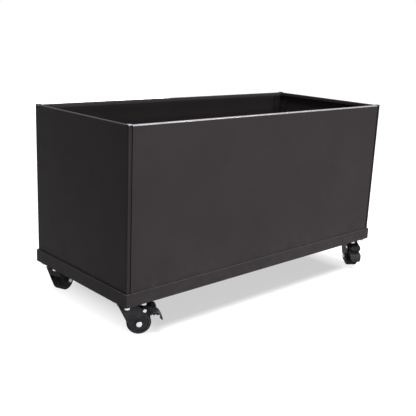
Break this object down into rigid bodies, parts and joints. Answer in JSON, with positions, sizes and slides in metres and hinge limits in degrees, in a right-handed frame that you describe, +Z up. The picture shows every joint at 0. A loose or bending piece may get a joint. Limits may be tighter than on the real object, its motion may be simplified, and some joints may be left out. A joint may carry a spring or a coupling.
{
  "type": "rolling planter",
  "caption": "Rectangular sheet-metal floor planter with corner posts, standing in a shallow tray on swivel casters, the front ones with foot brakes",
  "frame": {"origin": "on the floor under the middle of the planter", "axes": "+X along the planter's front, -Y out of the front, +Z up"},
  "size_m": [1.01, 0.4797, 0.541],
  "materials": {
    "charcoal_paint": "matt charcoal powder coat",
    "post_paint": "matt dark charcoal powder coat",
    "black_steel": "satin black coating",
    "zinc": "bright zinc plate",
    "bright_steel": "ground steel",
    "spring_steel": "oiled spring steel",
    "core_plastic": "moulded black plastic",
    "tyre_rubber": "smooth black rubber tread",
    "shoe_rubber": "moulded black rubber",
    "rubber_pads": "moulded black rubber"
  },
  "bodies": {
    "tray": {"base_tray": "charcoal_paint", "tray_rails": "charcoal_paint", "caster_bolts": "zinc", "caster_nuts": "zinc", "king_pins": "zinc", "bearing_balls": "bright_steel", "front_left_plate": "black_steel", "front_right_plate": "black_steel", "back_left_plate": "black_steel", "back_right_plate": "black_steel"},
    "planter": {"front_panel": "charcoal_paint", "back_panel": "charcoal_paint", "left_end_panel": "charcoal_paint", "right_end_panel": "charcoal_paint", "front_left_post": "post_paint", "front_right_post": "post_paint", "back_left_post": "post_paint", "back_right_post": "post_paint", "corner_rivets": "charcoal_paint", "floor_panel": "charcoal_paint", "floor_rivets": "zinc", "floor_bearers": "charcoal_paint", "support_pads": "rubber_pads"},
    "front_left_swivel": {"front_left_fork": "black_steel", "front_left_axle_bolt": "zinc", "front_left_axle_nut": "zinc", "front_left_axle_washers": "black_steel", "front_left_sleeve": "bright_steel", "front_left_pedal_pin": "zinc", "front_left_brake_spring": "spring_steel"},
    "front_left_wheel": {"front_left_wheel_core": "core_plastic", "front_left_tyre": "tyre_rubber"},
    "front_left_brake": {"front_left_pedal": "black_steel", "front_left_brake_shoe": "shoe_rubber"},
    "front_right_swivel": {"front_right_fork": "black_steel", "front_right_axle_bolt": "zinc", "front_right_axle_nut": "zinc", "front_right_axle_washers": "black_steel", "front_right_sleeve": "bright_steel", "front_right_pedal_pin": "zinc", "front_right_brake_spring": "spring_steel"},
    "front_right_wheel": {"front_right_wheel_core": "core_plastic", "front_right_tyre": "tyre_rubber"},
    "front_right_brake": {"front_right_pedal": "black_steel", "front_right_brake_shoe": "shoe_rubber"},
    "back_left_swivel": {"back_left_fork": "black_steel", "back_left_axle_bolt": "zinc", "back_left_axle_nut": "zinc", "back_left_axle_washers": "black_steel", "back_left_sleeve": "bright_steel"},
    "back_left_wheel": {"back_left_wheel_core": "core_plastic", "back_left_tyre": "tyre_rubber"},
    "back_right_swivel": {"back_right_fork": "black_steel", "back_right_axle_bolt": "zinc", "back_right_axle_nut": "zinc", "back_right_axle_washers": "black_steel", "back_right_sleeve": "bright_steel"},
    "back_right_wheel": {"back_right_wheel_core": "core_plastic", "back_right_tyre": "tyre_rubber"}
  },
  "joints": [
    {"name": "planter_lift", "type": "slide", "parent": "tray", "child": "planter", "axis": [0, 0, 1], "range_m": [0, 0.06]},
    {"name": "front_left_swivel_turn", "type": "hinge", "parent": "tray", "child": "front_left_swivel", "pos_m": [-0.465, -0.1725, 0.078], "axis": [0, 0, 1], "continuous": true},
    {"name": "front_left_wheel_spin", "type": "hinge", "parent": "front_left_swivel", "child": "front_left_wheel", "pos_m": [-0.44194, -0.18748, 0.03175], "axis": [0.5446, 0.8387, 0], "continuous": true},
    {"name": "front_left_brake_press", "type": "hinge", "parent": "front_left_swivel", "child": "front_left_brake", "pos_m": [-0.4302, -0.1951, 0.066], "axis": [0.5446, 0.8387, 0], "range_deg": [0, 14]},
    {"name": "front_right_swivel_turn", "type": "hinge", "parent": "tray", "child": "front_right_swivel", "pos_m": [0.465, -0.1725, 0.078], "axis": [0, 0, 1], "continuous": true},
    {"name": "front_right_wheel_spin", "type": "hinge", "parent": "front_right_swivel", "child": "front_right_wheel", "pos_m": [0.44923, -0.19503, 0.03175], "axis": [0.8192, -0.5736, 0], "continuous": true},
    {"name": "front_right_brake_press", "type": "hinge", "parent": "front_right_swivel", "child": "front_right_brake", "pos_m": [0.4412, -0.20649, 0.066], "axis": [0.8192, -0.5736, 0], "range_deg": [-14, 0]},
    {"name": "back_left_swivel_turn", "type": "hinge", "parent": "tray", "child": "back_left_swivel", "pos_m": [-0.465, 0.1725, 0.078], "axis": [0, 0, 1], "continuous": true},
    {"name": "back_left_wheel_spin", "type": "hinge", "parent": "back_left_swivel", "child": "back_left_wheel", "pos_m": [-0.4395, 0.1828, 0.03175], "axis": [-0.3746, 0.9272, 0], "continuous": true},
    {"name": "back_right_swivel_turn", "type": "hinge", "parent": "tray", "child": "back_right_swivel", "pos_m": [0.465, 0.1725, 0.078], "axis": [0, 0, 1], "continuous": true},
    {"name": "back_right_wheel_spin", "type": "hinge", "parent": "back_right_swivel", "child": "back_right_wheel", "pos_m": [0.47258, 0.19893, 0.03175], "axis": [-0.9613, 0.2756, 0], "continuous": true}
  ]
}
